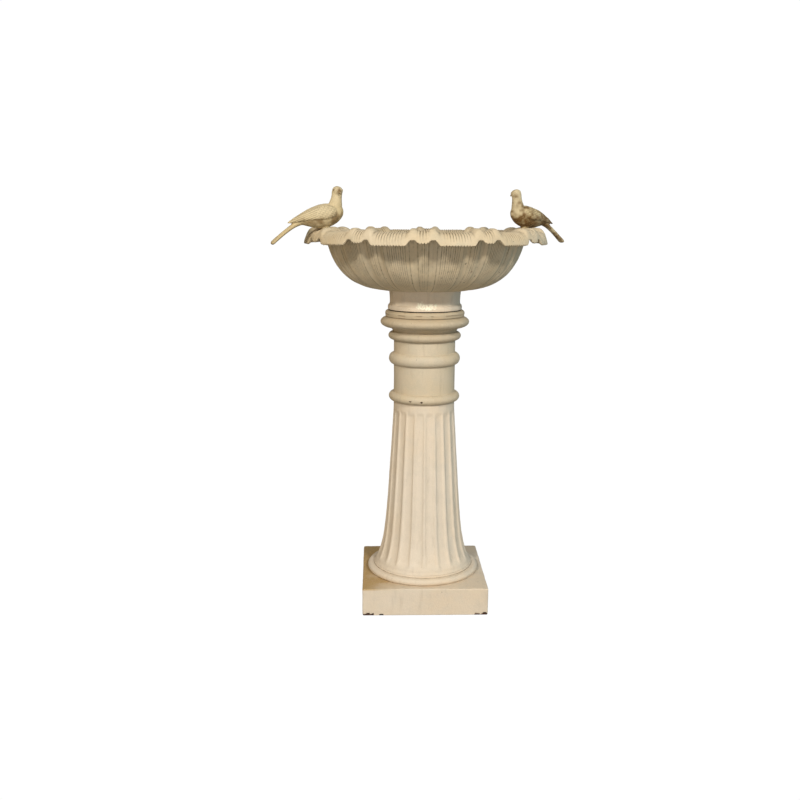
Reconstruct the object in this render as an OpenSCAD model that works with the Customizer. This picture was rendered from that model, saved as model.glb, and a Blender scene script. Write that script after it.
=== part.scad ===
// Cast-iron bird bath: a fluted column on a square plinth, with a lift-off fluted basin and two doves.
// Z is up, the origin is at the middle of the plinth's underside, and all sizes are in millimetres.

/* [Plinth] */
// Side of the square plinth
plinth_side = 258; // [240:1:320]
// Height of the plinth
plinth_height = 57; // [46:1:80]
// Thickness of the plinth's skirt
plinth_wall = 9; // [6:0.5:14]
// Thickness of the plinth's top plate
plinth_top = 10; // [7:0.5:14]
// Chamfer along the plinth's upper edges
plinth_chamfer = 1.5; // [0.5:0.5:3]

/* [Foot ring] */
// Outer radius of the foot ring's half-round moulding
foot_radius = 118; // [110:1:119]
// Height of the half-round moulding
foot_bead_height = 14; // [10:1:20]
// Height of the fillet above the moulding
foot_fillet_height = 4; // [2:0.5:8]

/* [Shaft] */
// Height of the fluted shaft casting
shaft_height = 352; // [260:1:420]
// Radius of the column at the top of the shaft
column_radius = 63.6; // [58:0.1:76]
// How much wider the shaft is below the flutes' tops than above them
shaft_taper = 21; // [10:0.5:24]
// How far the shaft's foot flares beyond the taper
foot_flare = 19; // [10:0.5:20]
// Height over which the flare fades away
flare_length = 35; // [20:1:45]
// Thickness of the column's wall
column_wall = 8; // [6:0.5:11]
// Number of flutes
flute_count = 20; // [12:1:24]
// Depth of each flute
flute_depth = 4.5; // [2:0.5:5.5]
// Plain band left above the flutes
plain_band_top = 16; // [10:1:40]
// Plain band left below the flutes
plain_band_foot = 8; // [4:1:20]

/* [Neck] */
// Height of the neck casting
neck_height = 126; // [108:1:170]
// How far the neck's two rings stand out from the column
neck_ring_reach = 10.3; // [6:0.1:14]
// Height of the neck's lower ring
neck_ring_height = 19; // [14:1:24]
// Height of the neck's upper ring
upper_ring_height = 24; // [18:1:30]
// Height of the band above the upper ring
neck_band = 25; // [10:1:32]

/* [Capital] */
// How far the small bead under the capital stands out from the column
small_bead_reach = 11.5; // [8:0.5:15]
// Height of the small bead
small_bead_height = 17; // [13:1:22]
// How far the capital's large torus stands out from the column
torus_reach = 28; // [22:0.5:32]
// Height of the large torus
torus_height = 23.5; // [18:0.5:30]
// How far the step ring above the torus stands out from the column
step_reach = 18.5; // [14:0.5:20]
// Height of the step ring
step_height = 12; // [8:1:16]
// Thickness of the web that the tie rod is bolted to
web_thickness = 10; // [7:0.5:14]

/* [Turning seat] */
// Radius of the spigot that the collar turns on
pivot_radius = 52; // [46:0.5:54]
// Height of that spigot above the washer
pivot_height = 14; // [8:1:16]
// Running clearance between the spigot and the collar
pivot_clearance = 0.06; // [0.02:0.01:0.1]
// Thickness of the bedding washer
washer_bed = 2; // [1:0.5:4]
// Height of the collar
collar_height = 40; // [30:1:50]
// Radius of the collar at its top
collar_radius = 73.9; // [70:0.1:80]
// How far the collar's waist is drawn in
collar_waist = 1.6; // [0.5:0.1:3]
// Radius of the collar's socket, which takes the basin's spigot
socket_radius = 58; // [56:0.5:62]
// Depth of the collar's socket
socket_depth = 13; // [8:1:14]
// Clearance around and under the basin's spigot
socket_clearance = 0.4; // [0.3:0.1:1]

/* [Basin] */
// Outermost radius of the rim
rim_radius = 246; // [232:1:296]
// Radius of the rim's crest, where the doves stand
crest_radius = 220; // [205:1:230]
// Height of the rim's crest above the collar
basin_height = 118; // [100:0.5:142]
// How far the lip droops below the crest
rim_droop = 23; // [15:1:30]
// Thickness of the basin's wall
basin_wall = 6; // [5:0.5:8]
// Number of fluted lobes around the basin
lobe_count = 12; // [8:1:16]
// How high the plain arches stand above the ribbed lobes at the crest
arch_crest = 7; // [3:0.5:9]
// How high the arches stand above the ribbed lobes at the lip
arch_lip = 10; // [5:0.5:12]
// Turn of the first narrow lobe about the vertical axis, in degrees
lobe_turn = -93.1; // [-105:0.1:-75]

/* [Doves] */
// Number of lobes from the first narrow lobe to the left dove
left_dove_lobe = 10; // [9.5:0.05:10.5]
// Number of lobes from the first narrow lobe to the right dove
right_dove_lobe = 3.67; // [3:0.01:4.5]
// How far the left dove is turned from facing the basin's axis, in degrees
left_dove_heading = -7; // [-20:1:20]
// How far the right dove is turned from facing the basin's axis, in degrees
right_dove_heading = 15; // [-20:1:20]
// Height of a dove above its seat
dove_height = 81; // [68:1:98]
// Radius of the round seat under each dove
dove_seat_radius = 9; // [8:0.5:10]
// Height of the seat above the ribbed crest
dove_seat_rise = 4; // [4:0.5:7]
// Depth of the boss under the rim that carries the washer
dove_boss_depth = 11; // [9:1:16]
// Play above and below the boss, so that a dove can be turned
dove_play = 0.1; // [0.05:0.05:0.3]

/* [Fasteners] */
// Radius of the tie rod
rod_radius = 8; // [6:0.5:9]
// Radius of the studs that hold the doves
stud_radius = 4; // [3:0.5:5]
// Running clearance around each dove's stud
stud_clearance = 0.06; // [0.02:0.01:0.1]
// How deep each stud goes into its dove
stud_depth = 20; // [14:1:26]

/* [Hidden] */

$fn = 96;

cream = [0.86, 0.78, 0.63];
aged_cream = [0.82, 0.72, 0.54];
steel = [0.55, 0.54, 0.52];
lead = [0.35, 0.35, 0.36];

// Levels of the stacked castings
foot_z = plinth_height;
shaft_z = foot_z + foot_bead_height + foot_fillet_height;
neck_z = shaft_z + shaft_height;
capital_z = neck_z + neck_height;
bead_gap = 8.5;
torus_z = capital_z + 2 + small_bead_height + bead_gap;
step_z = torus_z + torus_height;
seat_z = step_z + step_height;
collar_z = seat_z + washer_bed;
basin_z = collar_z + collar_height;
crest_z = basin_z + basin_height;

// Registers that centre one casting on the next
register_height = 4;
register_gap = 0.2;
register_wall = 5.5;
column_bore = column_radius - column_wall;
foot_bore = 84;
rod_hole = rod_radius + 0.4;
thread_gap = 0.15;

// Sizes of the fasteners, as multiples that standard nuts and washers have
rod_nut_width = 3 * rod_radius;
rod_nut_height = 1.6 * rod_radius;
rod_washer_radius = 1.9 * rod_radius;
rod_washer_thickness = 3;
rod_plate_side = 60;
rod_plate_thickness = 6;
rod_tail = 6;
stud_nut_width = 3.25 * stud_radius;
stud_nut_height = 1.6 * stud_radius;
stud_washer_radius = 2.1 * stud_radius;
stud_washer_thickness = 1.6;
stud_tail = 3;

// Web that the tie rod pulls on, and the recess above it that hides the nut
web_z = capital_z + 16;
recess_radius = 42;
rod_bottom_z = plinth_height - plinth_top - rod_plate_thickness - rod_nut_height - rod_tail;
rod_top_z = web_z + web_thickness + rod_washer_thickness + rod_nut_height + rod_tail;

// Places of the doves
dove_seat_z = crest_z + dove_seat_rise;
dove_foot_z = dove_seat_z + dove_play;
dove_boss_z = crest_z - dove_boss_depth;
stud_washer_z = dove_boss_z - dove_play - stud_washer_thickness;
stud_nut_z = stud_washer_z - stud_nut_height;
left_dove_turn = lobe_turn + left_dove_lobe * 360 / lobe_count;
right_dove_turn = lobe_turn + right_dove_lobe * 360 / lobe_count;
dove_scale = dove_height / 81;
// A wider rim lifts the tails that hang over it
tail_lift = 0.2 * max(0, rim_radius - crest_radius - 30);

// Points on an arc from angle a to angle b, about a centre in the profile's plane
function arc(c, r, a, b, n) = [for (i = [0:n]) c + r * [cos(a + (b - a) * i / n), sin(a + (b - a) * i / n)]];

// Points on a half ellipse that bulges outwards between two heights at one radius
function bulge(r, reach, z, h, n = 12) =
  [for (i = [0:n]) [r + reach * sin(180 * i / n), z + h / 2 - h / 2 * cos(180 * i / n)]];

// Point on a cubic curve with control points p
function cubic(p, t) =
  pow(1 - t, 3) * p[0] + 3 * pow(1 - t, 2) * t * p[1] + 3 * (1 - t) * t * t * p[2] + pow(t, 3) * p[3];

// Direction across that curve, to the left of its travel
function across(p, t) =
  let (d = pow(1 - t, 2) * (p[1] - p[0]) + 2 * (1 - t) * t * (p[2] - p[1]) + t * t * (p[3] - p[2]))
  [-d[1], d[0]] / norm(d);

// Closed surface through rings of equal length, each ring a list of points around the axis
function ring_faces(rings, n) = [
  for (j = [0:rings - 2]) for (i = [0:n - 1])
    [j * n + i, (j + 1) * n + i, (j + 1) * n + (i + 1) % n, j * n + (i + 1) % n]
];

// The same faces, with the last ring joined to the first
function closed_faces(rings, n) = concat(ring_faces(rings, n), [
  for (i = [0:n - 1]) [(rings - 1) * n + i, i, (i + 1) % n, (rings - 1) * n + (i + 1) % n]
]);

// Quadrilaterals cut into triangles
function triangles(quads) = [for (q = quads) each [[q[0], q[1], q[2]], [q[0], q[2], q[3]]]];

module plinth() {
  color(cream) difference() {
    union() {
      translate([-plinth_side / 2, -plinth_side / 2, 0])
        cube([plinth_side, plinth_side, plinth_height - plinth_chamfer]);
      translate([0, 0, plinth_height - plinth_chamfer]) plinth_bevel();
      translate([0, 0, plinth_height - 1]) cylinder(r = foot_bore - register_gap - register_wall, h = register_height + 1);
    }
    translate([-plinth_side / 2 + plinth_wall, -plinth_side / 2 + plinth_wall, -1])
      cube([plinth_side - 2 * plinth_wall, plinth_side - 2 * plinth_wall, plinth_height - plinth_top + 1]);
    cylinder(r = rod_hole, h = plinth_height + register_height + 1);
    translate([0, 0, plinth_height])
      cylinder(r = foot_bore - register_gap - 2 * register_wall, h = register_height + 1);
  }
}

// Chamfered slab that finishes the plinth's top
module plinth_bevel() {
  intersection_for (turn = [0, 90])
    rotate([90, 0, turn]) translate([0, 0, -plinth_side / 2]) linear_extrude(plinth_side) bevel_outline();
}

// Outline of the chamfered slab, seen from the side
module bevel_outline() {
  half = plinth_side / 2;
  polygon([
    [-half, 0], [half, 0], [half - plinth_chamfer, plinth_chamfer], [-half + plinth_chamfer, plinth_chamfer]
  ]);
}

module foot_ring() {
  inner = foot_bore - register_wall;
  lip = foot_bore - register_gap;
  shelf = column_radius + shaft_taper + foot_flare + 1.5;
  top = foot_bead_height + foot_fillet_height;
  color(cream) translate([0, 0, foot_z]) rotate_extrude() polygon(concat(
    [[inner, 0]],
    arc([foot_radius - foot_bead_height / 2, foot_bead_height / 2], foot_bead_height / 2, -90, 90, 16),
    [[shelf, foot_bead_height], [shelf, top], [lip, top], [lip, top + register_height]],
    [[inner, top + register_height]]
  ));
}

// Radius of the shaft at height h above its foot, measured over the flats between the flutes
function shaft_r(h) =
  column_radius + shaft_taper * max(0, 1 - h / (shaft_height - plain_band_top))
  + foot_flare * exp(-h / flare_length);

// How deep the flutes are at height h: nothing in the plain bands, and rounded off at both ends
function flute_at(h) =
  let (low = (h - plain_band_foot) / 14, high = (shaft_height - plain_band_top - h) / 9, end = min(low, high))
  end <= 0 ? 0 : end >= 1 ? flute_depth : flute_depth * sqrt(1 - pow(1 - end, 2));

// Cross-section of one flute: u runs from 0 to 1 across a pitch
function flute_shape(u) = let (x = abs(2 * u - 1) / 0.8) x >= 1 ? 0 : sqrt(1 - x * x);

module fluted_shaft() {
  steps = 6;
  n = flute_count * steps;
  fluted_top = shaft_height - plain_band_top;
  body = fluted_top - plain_band_foot - 23;
  heights = concat(
    [0, plain_band_foot],
    [for (k = [2, 6, 14]) plain_band_foot + k],
    [for (k = [1:9]) plain_band_foot + 14 + body * pow(k / 9, 1.3)],
    [for (k = [6, 8.5, 9]) fluted_top - 9 + k],
    [shaft_height]
  );
  bores = [[shaft_height, column_bore], [0.55 * shaft_height, shaft_r(0.55 * shaft_height) - column_wall - flute_depth],
    [0.2 * shaft_height, shaft_r(0.2 * shaft_height) - column_wall - flute_depth],
    [register_height + 1, foot_bore], [0, foot_bore]];
  outside = [for (h = heights) for (i = [0:n - 1])
    let (r = shaft_r(h) - flute_at(h) * flute_shape((i % steps) / steps), a = 360 * i / n)
    [r * cos(a), r * sin(a), h]];
  inside = [for (b = bores) for (i = [0:n - 1]) [min(b[1], foot_bore) * cos(360 * i / n),
    min(b[1], foot_bore) * sin(360 * i / n), b[0]]];
  color(cream) translate([0, 0, shaft_z])
    polyhedron(concat(outside, inside), triangles(closed_faces(len(heights) + len(bores), n)));
}

module neck() {
  ring = neck_ring_reach;
  upper_ring = neck_height - neck_band - upper_ring_height;
  color(cream) translate([0, 0, neck_z]) rotate_extrude() polygon(concat(
    [[column_bore - register_gap - register_wall, -register_height], [column_bore - register_gap, -register_height]],
    [[column_bore - register_gap, 0]],
    bulge(column_radius, ring, 0, neck_ring_height),
    bulge(column_radius, ring, upper_ring, upper_ring_height),
    [[column_radius, neck_height], [column_bore, neck_height], [column_bore, 0]],
    [[column_bore - register_gap - register_wall, 0]]
  ));
}

module capital() {
  foot = column_bore - register_gap;
  pivot_top = seat_z - capital_z + washer_bed + pivot_height;
  web = web_z - capital_z;
  torus = torus_z - capital_z;
  step = step_z - capital_z;
  color(cream) translate([0, 0, capital_z]) difference() {
    rotate_extrude() polygon(concat(
      [[0, web], [foot - register_wall, web], [foot - register_wall, -register_height], [foot, -register_height]],
      [[foot, 0], [column_radius + 1, 0]],
      bulge(column_radius + 1, small_bead_reach - 1, 2, small_bead_height),
      bulge(column_radius + 7, torus_reach - 7, torus, torus_height),
      [[column_radius + step_reach - 1, step], [column_radius + step_reach, step + step_height / 2]],
      arc([column_radius + step_reach - step_height / 2, step + step_height / 2], step_height / 2, 0, 90, 8),
      [[pivot_radius, step + step_height], [pivot_radius, pivot_top], [recess_radius, pivot_top]],
      [[recess_radius, web + web_thickness], [0, web + web_thickness]]
    ));
    translate([0, 0, web - 1]) cylinder(r = rod_hole, h = web_thickness + 2);
  }
}

// Threaded bar with a chamfer at each end
module bar(r, z0, z1) {
  rotate_extrude() polygon([[0, z0], [r - 1, z0], [r, z0 + 1], [r, z1 - 1], [r - 1, z1], [0, z1]]);
}

// Hexagon nut on a bar of radius r, standing on its lower face
module nut(width, height, r) {
  difference() {
    cylinder(d = width / cos(30), h = height, $fn = 6);
    translate([0, 0, -1]) cylinder(r = r + thread_gap, h = height + 2);
  }
}

// Round washer on a bar of radius r
module washer(outer, thickness, r) {
  difference() {
    cylinder(r = outer, h = thickness);
    translate([0, 0, -1]) cylinder(r = r + thread_gap, h = thickness + 2);
  }
}

module tie_rod() {
  color(steel) bar(rod_radius, rod_bottom_z, rod_top_z);
}

module lower_rod_plate() {
  color(steel) translate([0, 0, plinth_height - plinth_top - rod_plate_thickness]) difference() {
    translate([-rod_plate_side / 2, -rod_plate_side / 2, 0])
      cube([rod_plate_side, rod_plate_side, rod_plate_thickness]);
    translate([0, 0, -1]) cylinder(r = rod_radius + thread_gap, h = rod_plate_thickness + 2);
  }
}

module lower_rod_nut() {
  color(steel) translate([0, 0, rod_bottom_z + rod_tail]) nut(rod_nut_width, rod_nut_height, rod_radius);
}

module upper_rod_washer() {
  color(steel) translate([0, 0, web_z + web_thickness]) washer(rod_washer_radius, rod_washer_thickness, rod_radius);
}

module upper_rod_nut() {
  color(steel) translate([0, 0, rod_top_z - rod_tail - rod_nut_height])
    nut(rod_nut_width, rod_nut_height, rod_radius);
}

module bedding_washer() {
  color(lead) translate([0, 0, seat_z]) difference() {
    cylinder(r = collar_radius + 0.6, h = washer_bed);
    translate([0, 0, -1]) cylinder(r = pivot_radius + 0.5, h = washer_bed + 2);
  }
}

module basin_collar() {
  flange = 9;
  bore = pivot_radius + pivot_clearance;
  socket_floor = collar_height - socket_depth - socket_clearance;
  inner = pivot_radius - 5;
  color(cream) translate([0, 0, collar_z]) rotate_extrude() polygon(concat(
    [[bore, 0], [collar_radius + 2, 0], [collar_radius + 2.6, flange / 2], [collar_radius + 1.5, flange]],
    [for (i = [0:10]) let (u = i / 10)
      [collar_radius - collar_waist * sin(180 * sqrt(u)), flange + 1 + (collar_height - flange - 1) * u]],
    [[socket_radius, collar_height], [socket_radius, socket_floor], [inner, socket_floor]],
    [[inner, pivot_height + 1], [bore, pivot_height + 1]]
  ));
}

// How far round from the nearest narrow lobe's centre an angle lies, in degrees
function lobe_phase(a) = let (pitch = 360 / lobe_count) abs(a - pitch * round(a / pitch));

// Height of the relief at that phase, as a share of an arch: 0 on the wide ribbed lobes, 1 on the arches
function relief(phase) =
  let (pitch = 360 / lobe_count, x = phase / pitch)
  x > 0.235 ? 0 : x > 0.15 ? sqrt(1 - pow((x - 0.15) / 0.085, 2)) :
  x > 0.08 ? 0.45 + 0.55 * sin(90 * (x - 0.08) / 0.07) : 0.45;

// Outside curve of the bowl, then under the rim, as control points
bowl_under = [
  [collar_radius, 0], [0.68 * crest_radius, 0], [0.837 * crest_radius, 0.316 * basin_height],
  [0.905 * crest_radius, 0.79 * basin_height]
];
rise_under = [
  bowl_under[3], [0.916 * crest_radius, 0.87 * basin_height],
  [0.946 * crest_radius, basin_height - basin_wall - 0.5], [crest_radius, basin_height - basin_wall]
];
lip_z = basin_height - rim_droop;
fall_under = [
  [crest_radius, basin_height - basin_wall], [crest_radius + 0.4 * (rim_radius - crest_radius), basin_height - basin_wall],
  [rim_radius - basin_wall - 3, basin_height - 0.5 * rim_droop - 1], [rim_radius - basin_wall + 0.5, lip_z]
];
// The same three curves on the inside and on top
inner_foot = collar_radius - 14;
floor_thickness = basin_wall + 2;
bowl_top = [
  [inner_foot, floor_thickness], [0.66 * crest_radius, floor_thickness],
  [0.805 * crest_radius, 0.316 * basin_height + 4], [0.905 * crest_radius - basin_wall - 1, 0.79 * basin_height]
];
rise_top = [
  bowl_top[3], [0.916 * crest_radius - basin_wall - 2, 0.89 * basin_height],
  [0.93 * crest_radius, basin_height - 0.5], [crest_radius, basin_height]
];
fall_top = [
  [crest_radius, basin_height], [crest_radius + 0.55 * (rim_radius - crest_radius), basin_height],
  [rim_radius - 2, basin_height - 0.4 * rim_droop], [rim_radius, lip_z]
];

// Points of one curve, each with the direction in which the relief lifts it and by how much
function lifted(p, t, low, high, upright = false) =
  [cubic(p, t), upright ? [0, 1] : across(p, t), low + (high - low) * t];

// The basin's section from the middle of its underside over the rim to the middle of its floor
function basin_section() =
  let (wall_relief = 0.65 * arch_crest, spigot = socket_radius - socket_clearance, bore = spigot - 9)
  concat(
    [for (p = [[bore, 0], [bore, -socket_depth], [spigot, -socket_depth], [spigot, 0]]) [p, [0, 1], 0]],
    [for (i = [0:7]) lifted(bowl_under, i / 7, 0, wall_relief)],
    [for (i = [1:3]) lifted(rise_under, i / 3, wall_relief, arch_crest)],
    [for (i = [1:4]) lifted(fall_under, i / 4, arch_crest, arch_lip, true)],
    [for (i = [4:-1:1]) lifted(fall_top, i / 4, arch_crest, arch_lip, true)],
    [for (i = [3:-1:1]) lifted(rise_top, i / 3, wall_relief, arch_crest)],
    [for (i = [7:-1:0]) lifted(bowl_top, i / 7, 0, wall_relief)]
  );

module basin_shell() {
  section = basin_section();
  pitch = 360 / lobe_count;
  around = [for (k = [0:lobe_count - 1])
    for (x = [-0.35, -0.235, -0.19, -0.12, -0.07, 0, 0.07, 0.12, 0.19, 0.235, 0.35, 0.5]) pitch * (k + x)];
  n = len(around);
  rows = len(section);
  shell = [for (s = section) for (a = around)
    let (q = s[0] + s[1] * s[2] * relief(lobe_phase(a)))
    [q[0] * cos(a + lobe_turn), q[0] * sin(a + lobe_turn), q[1]]];
  middle = [[0, 0, 0], [0, 0, floor_thickness]];
  base_fan = [for (i = [0:n - 1]) [rows * n, i, (i + 1) % n]];
  floor_fan = [for (i = [0:n - 1]) [rows * n + 1, (rows - 1) * n + (i + 1) % n, (rows - 1) * n + i]];
  polyhedron(concat(shell, middle), concat(base_fan, triangles(ring_faces(rows, n)), floor_fan));
}

// Puts a dove's piece at its seat, with the dove's breast towards the basin's axis, or turned from it by a heading
module at_dove(turn, heading = 0) {
  rotate([0, 0, turn]) translate([crest_radius, 0, 0]) rotate([0, 0, 180 + heading]) children();
}

module basin() {
  color(cream) difference() {
    union() {
      translate([0, 0, basin_z]) basin_shell();
      for (turn = [left_dove_turn, right_dove_turn]) at_dove(turn)
        translate([0, 0, dove_boss_z]) cylinder(r = dove_seat_radius, h = dove_seat_z - dove_boss_z);
    }
    for (turn = [left_dove_turn, right_dove_turn]) at_dove(turn)
      translate([0, 0, dove_boss_z - 1])
        cylinder(r = stud_radius + stud_clearance, h = dove_seat_z - dove_boss_z + 2);
  }
}

// Ball of radius r at a place given for a dove of the drawn size
module ball(p, r) {
  translate(p * dove_scale) sphere(r = r * dove_scale, $fn = 24);
}

// One dove, breast along +X, head turned to its right, standing at the origin
module dove() {
  difference() {
    union() {
      cylinder(r1 = dove_seat_radius, r2 = dove_seat_radius - 1, h = 8 * dove_scale);
      hull() {
        ball([14, 0, 28], 20);
        ball([-12, 0, 25], 20);
        ball([-38, 0, 20], 12);
      }
      hull() {
        ball([18, 0, 40], 14);
        ball([24, 0, 70.5], 10.5);
      }
      hull() {
        ball([25, -7, 70], 5);
        ball([26, -14, 68.5], 1.6);
      }
      hull() {
        ball([-38, 0, 15], 7);
        ball([-66, 0, 2 + tail_lift], 4);
        ball([-103, -6, -27 + tail_lift], 2.5);
        ball([-103, 6, -27 + tail_lift], 2.5);
      }
      for (side = [-1, 1]) hull() {
        ball([12, 14 * side, 31], 7);
        ball([-28, 12 * side, 26], 7);
        ball([-70, 6 * side, 12], 2.5);
      }
    }
    translate([0, 0, -1]) cylinder(r = stud_radius + thread_gap, h = stud_depth + 2);
  }
}

module dove_stud() {
  bar(stud_radius, stud_nut_z - stud_tail, dove_foot_z + stud_depth);
}

module dove_washer() {
  translate([0, 0, stud_washer_z]) washer(stud_washer_radius, stud_washer_thickness, stud_radius);
}

module dove_nut() {
  translate([0, 0, stud_nut_z]) nut(stud_nut_width, stud_nut_height, stud_radius);
}

module left_dove() {
  color(aged_cream) at_dove(left_dove_turn, left_dove_heading) translate([0, 0, dove_foot_z]) dove();
}

module left_dove_stud() {
  color(steel) at_dove(left_dove_turn) dove_stud();
}

module left_dove_washer() {
  color(steel) at_dove(left_dove_turn) dove_washer();
}

module left_dove_nut() {
  color(steel) at_dove(left_dove_turn) dove_nut();
}

module right_dove() {
  color(aged_cream) at_dove(right_dove_turn, right_dove_heading) translate([0, 0, dove_foot_z]) dove();
}

module right_dove_stud() {
  color(steel) at_dove(right_dove_turn) dove_stud();
}

module right_dove_washer() {
  color(steel) at_dove(right_dove_turn) dove_washer();
}

module right_dove_nut() {
  color(steel) at_dove(right_dove_turn) dove_nut();
}

plinth();
foot_ring();
fluted_shaft();
neck();
capital();
tie_rod();
lower_rod_plate();
lower_rod_nut();
upper_rod_washer();
upper_rod_nut();
bedding_washer();
basin_collar();
basin();
left_dove();
left_dove_stud();
left_dove_washer();
left_dove_nut();
right_dove();
right_dove_stud();
right_dove_washer();
right_dove_nut();
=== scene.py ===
"""Looks of the bird bath: worn castings, the ribbed basin and the doves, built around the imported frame."""
import math

import bpy
import bmesh
import numpy as np
from mathutils import Matrix, Vector


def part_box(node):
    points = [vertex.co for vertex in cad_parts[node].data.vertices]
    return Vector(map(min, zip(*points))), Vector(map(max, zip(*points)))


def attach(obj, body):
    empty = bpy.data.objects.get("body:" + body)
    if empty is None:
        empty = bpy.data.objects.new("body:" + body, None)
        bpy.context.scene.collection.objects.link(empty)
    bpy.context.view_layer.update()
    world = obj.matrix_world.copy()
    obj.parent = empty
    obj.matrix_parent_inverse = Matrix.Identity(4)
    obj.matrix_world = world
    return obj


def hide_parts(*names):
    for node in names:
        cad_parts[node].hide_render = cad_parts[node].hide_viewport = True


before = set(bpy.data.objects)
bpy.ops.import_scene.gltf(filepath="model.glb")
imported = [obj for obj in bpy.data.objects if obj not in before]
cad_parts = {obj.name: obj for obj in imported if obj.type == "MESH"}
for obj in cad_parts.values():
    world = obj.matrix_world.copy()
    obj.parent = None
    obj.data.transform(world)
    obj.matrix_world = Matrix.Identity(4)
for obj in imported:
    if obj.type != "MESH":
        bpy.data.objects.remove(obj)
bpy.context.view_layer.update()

MM = 0.001


# ---------------------------------------------------------------- places and sizes, in millimetres

def low_z(node):
    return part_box(node)[0][2] / MM


def high_z(node):
    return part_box(node)[1][2] / MM


PLINTH_SIDE = (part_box("plinth")[1][0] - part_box("plinth")[0][0]) / MM
FOOT_Z = low_z("foot_ring")
SHAFT_Z = low_z("fluted_shaft")
NECK_Z = high_z("fluted_shaft")
CAPITAL_Z = high_z("neck")
SEAT_Z = low_z("bedding_washer")
COLLAR_Z = low_z("basin_collar")
BASIN_Z = high_z("basin_collar")

# plinth
PLINTH_WALL = 9
PLINTH_TOP = 10
PLINTH_EDGE = 2.2
PLINTH_CORNER = 2.5
PLINTH_ASKEW = 1.0

# what the castings share where they meet
REGISTER = 4
REGISTER_WALL = 5.5
REGISTER_GAP = 0.2
ROD_HOLE = 8.4

# foot ring and shaft
FOOT_BORE = 84
FOOT_R = 118
FOOT_BEAD = 14
COLUMN_R = 63.6
COLUMN_WALL = 8
COLUMN_BORE = COLUMN_R - COLUMN_WALL
TAPER = 21
FOOT_FLARE = 19
FLARE_LENGTH = 35
SHAFT_WALL = 12.5
PLAIN_BAND = 16
FLUTES = 20
FLUTE_DEPTH = 4.5

# neck and capital
RING_REACH = 10.3
LOWER_RING_H = 19
UPPER_RING_H = 24
UPPER_BAND_H = 25
BEAD_REACH = 11.5
BEAD_H = 17
TORUS_REACH = 28
TORUS_H = 23.5
STEP_REACH = 18.5
STEP_H = 12
WEB_RISE = 16
WEB_THICKNESS = 10
RECESS_R = 42
PIVOT_R = 52
PIVOT_RISE = 16

# collar
COLLAR_R = 73.9
COLLAR_BORE_H = 15
COLLAR_LIP = 5
RUNNING_GAP = 0.06
SOCKET_R = 58
SPIGOT_GAP = 0.4
SPIGOT_H = 13

# basin
SPIGOT_WALL = 9
RIM_R = 246
CREST_R = 220
BASIN_H = 118
RIM_DROOP = 23
BASIN_WALL = 6
BASIN_FLOOR = 8
ARCH_H = 7
RIM_ARCH_H = 10
RIB_PITCH = 1.27
LOBES = 12
LOBE_PITCH = 360 / LOBES
LOBE_TURN = -93.1
CREST_Z = BASIN_Z + BASIN_H

# doves
DOVE_TURN = {"left": LOBE_TURN + 10 * LOBE_PITCH, "right": LOBE_TURN + 3.67 * LOBE_PITCH}
DOVE_HEADING = {"left": -7, "right": 15}
SEAT_RISE = 4
SEAT_R = 9
BOSS_DEPTH = 11
STUD_R = 4
DOVE_PLAY = 0.1


# ---------------------------------------------------------------- smooth random fields

def lattice(cell, seed):
    """A repeatable number from 0 to 1 for each whole-numbered cell."""
    h = cell[..., 0] * 374761393 + cell[..., 1] * 668265263 + cell[..., 2] * 2147483647 + seed * 974634777
    h = (h ^ (h >> 13)) * 1274126177
    h = h ^ (h >> 16)
    return (h & 0xFFFFFF) / float(0xFFFFFF)


def field(points, size, seed=0):
    """Smooth noise from -1 to 1 whose lumps are about size millimetres across."""
    p = np.asarray(points) / size
    base = np.floor(p).astype(np.int64)
    f = p - base
    f = f * f * (3 - 2 * f)
    total = 0
    for dx in (0, 1):
        for dy in (0, 1):
            for dz in (0, 1):
                corner = base + np.array([dx, dy, dz])
                w = (f[..., 0] if dx else 1 - f[..., 0]) * (f[..., 1] if dy else 1 - f[..., 1])
                w = w * (f[..., 2] if dz else 1 - f[..., 2])
                total = total + w * lattice(corner, seed)
    return 2 * total - 1


def smooth(x, a, b):
    """0 below a, 1 above b, smooth between."""
    t = np.clip((np.asarray(x, float) - a) / (b - a), 0, 1)
    return t * t * (3 - 2 * t)


# ---------------------------------------------------------------- mesh building

def mesh_object(name, verts, faces, body, replaced=(), marks=None):
    """A smooth-shaded mesh from points in millimetres, riding on a body."""
    mesh = bpy.data.meshes.new(name)
    mesh.from_pydata((np.asarray(verts) * MM).tolist(), [], faces)
    mesh.update()
    bm = bmesh.new()
    bm.from_mesh(mesh)
    if bm.calc_volume(signed=True) < 0:
        bmesh.ops.reverse_faces(bm, faces=bm.faces)
    bm.to_mesh(mesh)
    bm.free()
    mesh.polygons.foreach_set("use_smooth", [True] * len(mesh.polygons))
    for key, values in (marks or {}).items():
        layer = mesh.attributes.new(key, "FLOAT", "POINT")
        layer.data.foreach_set("value", np.asarray(values, np.float32).ravel())
    obj = bpy.data.objects.new(name, mesh)
    bpy.context.collection.objects.link(obj)
    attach(obj, body)
    if replaced:
        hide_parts(*replaced)
    return obj


def grid_faces(rows, cols, closed):
    """Quadrilaterals of a grid that closes around the axis, and from last row to first if closed."""
    last = rows if closed else rows - 1
    j = np.arange(last)[:, None]
    i = np.arange(cols)[None, :]
    a = j * cols + i
    b = ((j + 1) % rows) * cols + i
    c = ((j + 1) % rows) * cols + (i + 1) % cols
    d = j * cols + (i + 1) % cols
    return np.stack([a, b, c, d], -1).reshape(-1, 4).tolist()


def grid_normals(grid, closed):
    """Unit normals of a grid of points, all to the same side of it."""
    down = (np.roll(grid, -1, 0) - np.roll(grid, 1, 0)) if closed else np.gradient(grid, axis=0)
    along = np.roll(grid, -1, 1) - np.roll(grid, 1, 1)
    n = np.cross(along, down)
    return n / np.maximum(np.linalg.norm(n, axis=-1, keepdims=True), 1e-9)


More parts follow.
